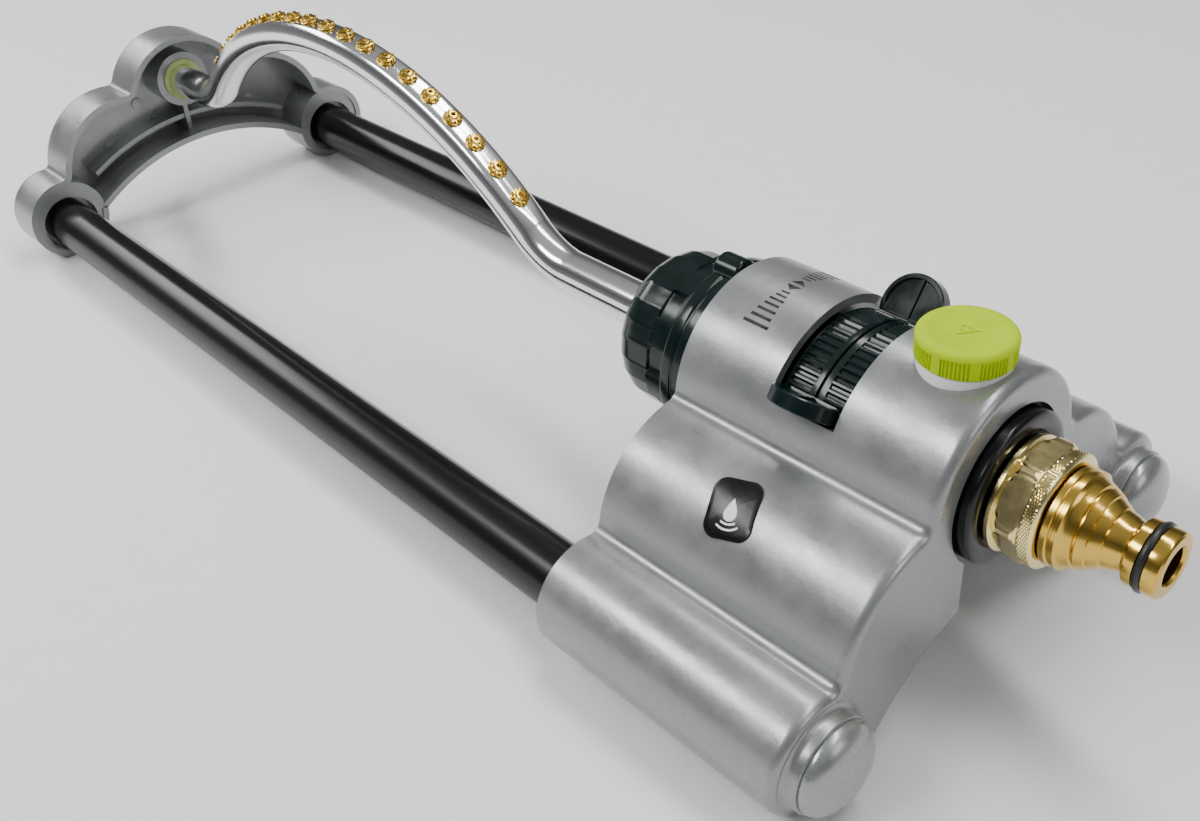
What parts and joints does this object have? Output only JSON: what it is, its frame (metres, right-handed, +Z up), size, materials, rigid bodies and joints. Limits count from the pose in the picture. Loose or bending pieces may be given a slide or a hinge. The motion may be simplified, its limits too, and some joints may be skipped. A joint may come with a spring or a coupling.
{
  "type": "oscillating sprinkler",
  "caption": "Oscillating lawn sprinkler: a curved spray tube swings between two cast end pieces on rails, driven by a geared water motor with range rings, a flow knob and a hose connector.",
  "frame": {"origin": "on the ground, midway between the foot's outer face and the hose connector's tip, and midway between the rails", "axes": "+X along the rails from the foot towards the hose connector, +Y across the rails towards the side away from the badge, +Z up from the ground"},
  "size_m": [0.468, 0.163, 0.1121],
  "materials": {
    "painted_casting": "fine metallic grey paint with a slight orange peel",
    "painted_cap": "smooth metallic grey paint",
    "black_gloss_tube": "black gloss coating",
    "bush_plastic": "satin moulded plastic",
    "bright_aluminium": "polished, drawn along the tube",
    "brass": "turned and lightly dulled",
    "pale_brass": "pale gold plating, satin",
    "copper_brass": "turned, warm and glossy",
    "dark_green_plastic": "glossy moulded plastic",
    "black_plastic": "satin moulded plastic",
    "light_plastic": "satin moulded plastic",
    "lime_plastic": "moulded plastic with a soft sheen",
    "white_plastic": "satin moulded plastic",
    "seal_rubber": "smooth black rubber",
    "steel": "plain turned steel"
  },
  "bodies": {
    "base": {"motor_housing": "painted_casting", "end_foot": "painted_casting", "rail_near": "black_gloss_tube", "rail_far": "black_gloss_tube", "end_cap_near": "painted_cap", "end_cap_far": "painted_cap", "pivot_bush": "bush_plastic", "notched_collar": "dark_green_plastic", "motor_flange": "dark_green_plastic", "motor_barrel": "dark_green_plastic", "turbine_plate": "light_plastic", "jet_plate": "light_plastic", "lay_pin": "steel", "inlet_body": "black_plastic", "filter_screen": "light_plastic", "knob_seat": "white_plastic", "hose_washer": "seal_rubber", "hose_nut": "pale_brass", "hose_connector": "copper_brass", "connector_seal": "seal_rubber", "casing_screws": "steel", "badge": "black_plastic"},
    "spray": {"spray_tube": "bright_aluminium", "tube_end_plug": "brass", "nose_boot": "dark_green_plastic", "output_hub": "dark_green_plastic", "hub_seal": "seal_rubber", "tube_seal": "seal_rubber", "nozzle_01": "brass", "nozzle_02": "brass", "nozzle_03": "brass", "nozzle_04": "brass", "nozzle_05": "brass", "nozzle_06": "brass", "nozzle_07": "brass", "nozzle_08": "brass", "nozzle_09": "brass", "nozzle_10": "brass", "nozzle_11": "brass", "nozzle_12": "brass", "nozzle_13": "brass", "nozzle_14": "brass", "nozzle_15": "brass", "nozzle_16": "brass", "nozzle_17": "brass", "nozzle_18": "brass", "nozzle_19": "brass"},
    "lay_cluster": {"lay_gear": "light_plastic"},
    "turbine": {"water_wheel": "light_plastic", "turbine_shaft": "steel"},
    "ring_near": {"range_ring_near": "dark_green_plastic"},
    "ring_far": {"range_ring_far": "dark_green_plastic"},
    "knob": {"flow_knob": "lime_plastic", "valve_spindle": "steel"},
    "flap": {"reversing_flap": "light_plastic"}
  },
  "joints": [
    {"name": "spray_sweep", "type": "hinge", "parent": "base", "child": "spray", "pos_m": [0, 0, 0.0565], "axis": [1, 0, 0], "range_deg": [-54, 46]},
    {"name": "lay_spin", "type": "hinge", "parent": "base", "child": "lay_cluster", "pos_m": [0.122, 0, 0.0462], "axis": [1, 0, 0], "range_deg": [-135, 135]},
    {"name": "turbine_spin", "type": "hinge", "parent": "base", "child": "turbine", "pos_m": [0.135, 0, 0.0565], "axis": [1, 0, 0], "range_deg": [-320, 320]},
    {"name": "near_ring_turn", "type": "hinge", "parent": "base", "child": "ring_near", "pos_m": [0.1465, 0, 0.0565], "axis": [1, 0, 0], "range_deg": [-48, 1]},
    {"name": "far_ring_turn", "type": "hinge", "parent": "base", "child": "ring_far", "pos_m": [0.1564, 0, 0.0565], "axis": [1, 0, 0], "range_deg": [-20, 29]},
    {"name": "knob_turn", "type": "hinge", "parent": "base", "child": "knob", "pos_m": [0.1779, 0, 0.087], "axis": [0, 0, 1], "range_deg": [-135, 135]},
    {"name": "flap_rock", "type": "hinge", "parent": "base", "child": "flap", "pos_m": [0.154, 0, 0.0695], "axis": [1, 0, 0], "range_deg": [-12, 12]}
  ],
  "couplings": [
    {"joint": "lay_spin", "follows": "spray_sweep", "ratio": -2.4},
    {"joint": "turbine_spin", "follows": "spray_sweep", "ratio": 5.76}
  ]
}
